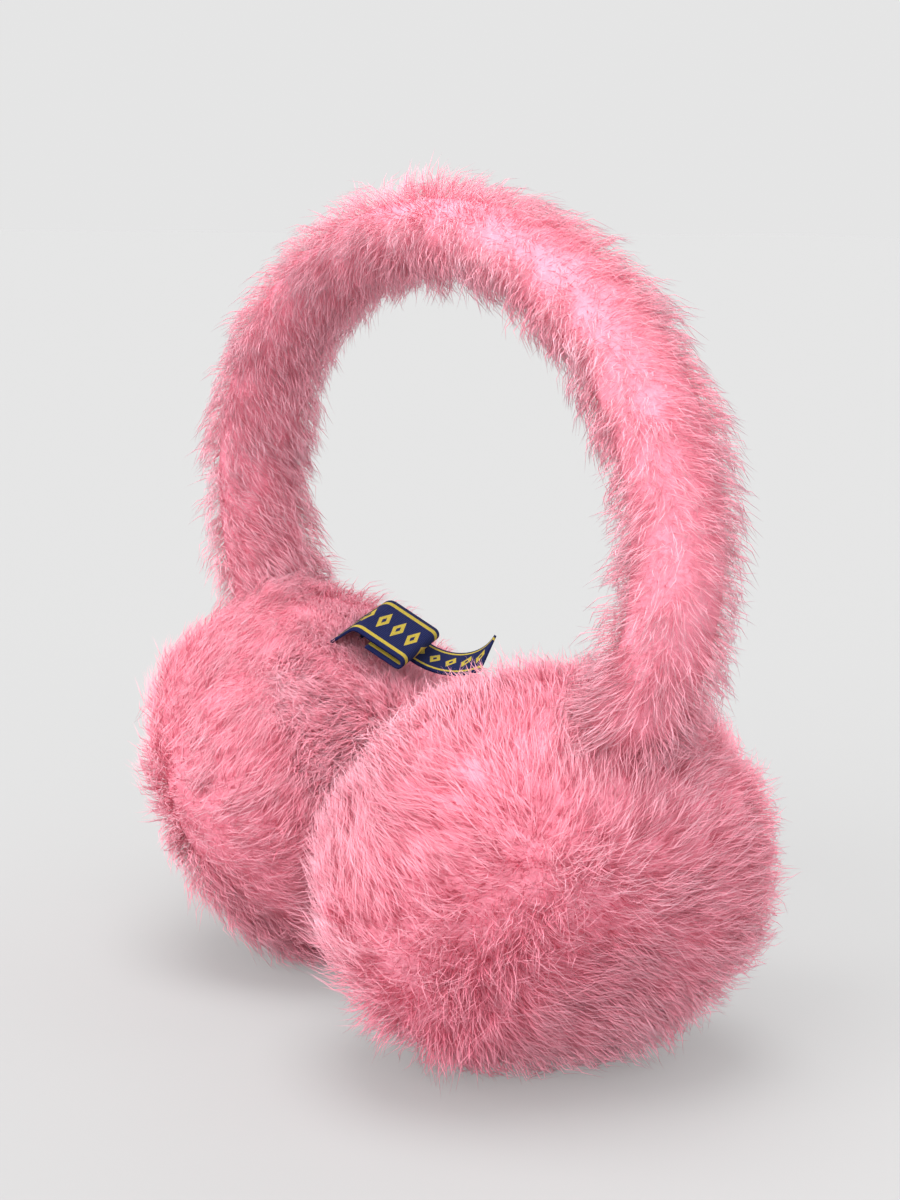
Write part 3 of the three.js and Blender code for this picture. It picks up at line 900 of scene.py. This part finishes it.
def ribbon_points(s, line, heading, width, twist, slant):
    """Two faces of a ribbon, joined into rings round it.

    A point is the line + its offset: the way across turned by the twist, which grows as the fourth
    power of the way along, and half the thickness square to it. The slant moves the edges along the
    heading, as the third power.
    """
    share = (s / s[-1])[:, None]
    across = np.linspace(-0.5, 0.5, RIBBON_COLUMNS)[None, :]
    wide = across * width
    roll = np.radians(twist) * share**4
    c, d = np.cos(heading)[:, None], np.sin(heading)[:, None]
    edge_shift = -slant * across * share**3
    faces = []
    for half in (LABEL_THICKNESS / 2, -LABEL_THICKNESS / 2):
        raised = half * np.cos(roll) - wide * np.sin(roll)
        sideways = half * np.sin(roll) + wide * np.cos(roll)
        x = line[:, :1] + edge_shift * c - raised * d
        y = line[:, 1:] + edge_shift * d + raised * c
        faces.append(np.stack([x, y, sideways], -1) @ label_axes.T @ left_axes.T)
    return np.concatenate([faces[0], faces[1][:, ::-1]], 1)


def ribbon_faces(rows, columns):
    """The rings' quads, and a row of quads that closes each end."""
    i = np.arange(RIBBON_COLUMNS - 1)[:, None]
    cap = np.hstack([i, i + 1, columns - 2 - i, columns - 1 - i])
    last = cap + (rows - 1) * columns
    return np.concatenate([grid_faces(rows, columns)[:, ::-1], cap, last[:, ::-1]])


print("a ribbon has", len(ribbon_faces(RIBBON_ROWS, 2 * RIBBON_COLUMNS)), "quads")

# %% Placing a ribbon
LABEL_SINK = 1.6


def ribbon(name, node, runs, width, twist=0.0, slant=0.0):
    """Adds a ribbon in the middle of its CAD node's box, a little sunk into the fur."""
    s, line, heading = ribbon_line(runs, RIBBON_ROWS)
    rings = ribbon_points(s, line, heading, width, twist, slant)
    rows, columns = rings.shape[:2]
    points = rings.reshape(-1, 3)
    node_middle = np.mean(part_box(node), axis=0) / MM
    own_middle = (points.min(0) + points.max(0)) / 2
    points = points + node_middle - own_middle - left_axes @ label_axes[:, 0] * LABEL_SINK
    across = np.linspace(0, 1, RIBBON_COLUMNS)
    across = np.concatenate([across, across[::-1]])[None, :]
    uv = np.stack(np.broadcast_arrays((s / s[-1])[:, None], across), -1).reshape(-1, 2)
    piece = mesh_object(name, points, ribbon_faces(rows, columns), uv)
    piece.data.materials.append(woven.material)
    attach(piece, "root")
    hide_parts(node)
    s[-1] * MM
    print(f"{name}: cut to {width} mm by {s[-1]:.1f} mm")


print("each label is sunk", LABEL_SINK, "mm into the fur")

# %% The two labels
# Each starts with its root in the fur and bends over it; one folds back on itself, one curls up.
folded_runs = [(10, 0), (3, 63), (12, 0), (np.pi * 1.3, 180), (9, 0)]
strip_runs = [(6.6, 0), (3, 63), (11, 0), (20, -70)]
ribbon("folded_woven_label", "folded_label", folded_runs, 19.5)
ribbon("woven_strip", "strip_label", strip_runs, 10.0, twist=24.0, slant=-4.0)
